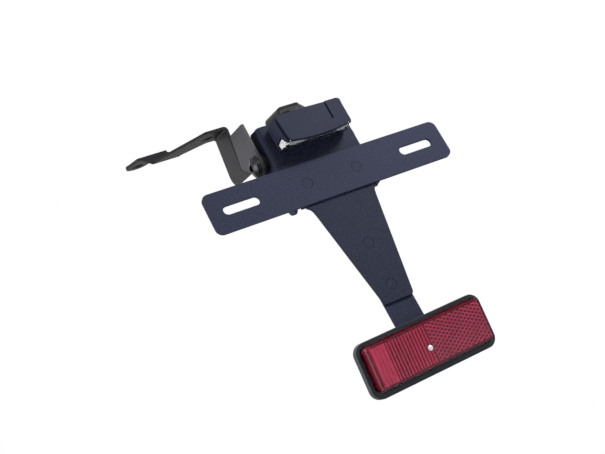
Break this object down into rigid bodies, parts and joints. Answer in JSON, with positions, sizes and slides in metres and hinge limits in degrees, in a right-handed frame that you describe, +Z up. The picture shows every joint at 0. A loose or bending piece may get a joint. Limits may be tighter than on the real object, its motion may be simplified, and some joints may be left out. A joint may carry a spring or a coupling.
{
  "type": "motorbike tail tidy",
  "caption": "Folded sheet-metal tail tidy with a slotted number plate bar, a small plate lamp, a red rear reflector and two folded hanger arms clamped on a cross bolt.",
  "frame": {"origin": "middle of the bar's front face, half-way between its two slots, where the number plate is fastened", "axes": "+X along the bar to the right of someone looking at the number plate, +Y square to the plate towards the motorbike, +Z up along the plate"},
  "size_m": [0.1873, 0.1176, 0.247],
  "materials": {
    "coat_plate": "satin, finely textured powder coat",
    "coat_bar": "satin, finely textured powder coat",
    "coat_studs": "satin powder coat",
    "coat_arms": "satin powder coat",
    "coat_hinge": "satin powder coat",
    "zinc_nuts": "zinc plated",
    "zinc_studs": "zinc plated",
    "black_steel": "dark plated, bright on the dome",
    "spacer_steel": "satin",
    "washer_nylon": "matt",
    "lamp_plastic": "fine satin grain",
    "lamp_clear": "clear, moulded",
    "rubber_black": "matt",
    "board_green": "solder resist",
    "led_white": "pale",
    "reflector_black": "fine satin grain",
    "reflector_red": "clear red, prismatic inside",
    "rivet_bright": "bright"
  },
  "bodies": {
    "root": {"main_plate": "coat_plate", "reflector_strip": "coat_plate", "number_plate_bar": "coat_bar", "bar_studs": "coat_studs", "strip_studs": "coat_studs", "left_arm": "coat_arms", "right_arm": "coat_arms", "left_hinge_plate": "coat_hinge", "right_hinge_plate": "coat_hinge", "bar_nuts": "zinc_nuts", "strip_nuts": "zinc_nuts", "lamp_nuts": "zinc_nuts", "lamp_studs": "zinc_studs", "pivot_bolt": "black_steel", "pivot_nut": "black_steel", "left_spacer": "spacer_steel", "right_spacer": "spacer_steel", "pivot_washers": "washer_nylon", "lamp_body": "lamp_plastic", "lamp_cover": "lamp_plastic", "lamp_lens": "lamp_clear", "lamp_gasket": "rubber_black", "lamp_grommet": "rubber_black", "lamp_board": "board_green", "lamp_leds": "led_white", "reflector_base": "reflector_black", "reflector_lens": "reflector_red", "reflector_rivet": "rivet_bright"}
  },
  "joints": []
}
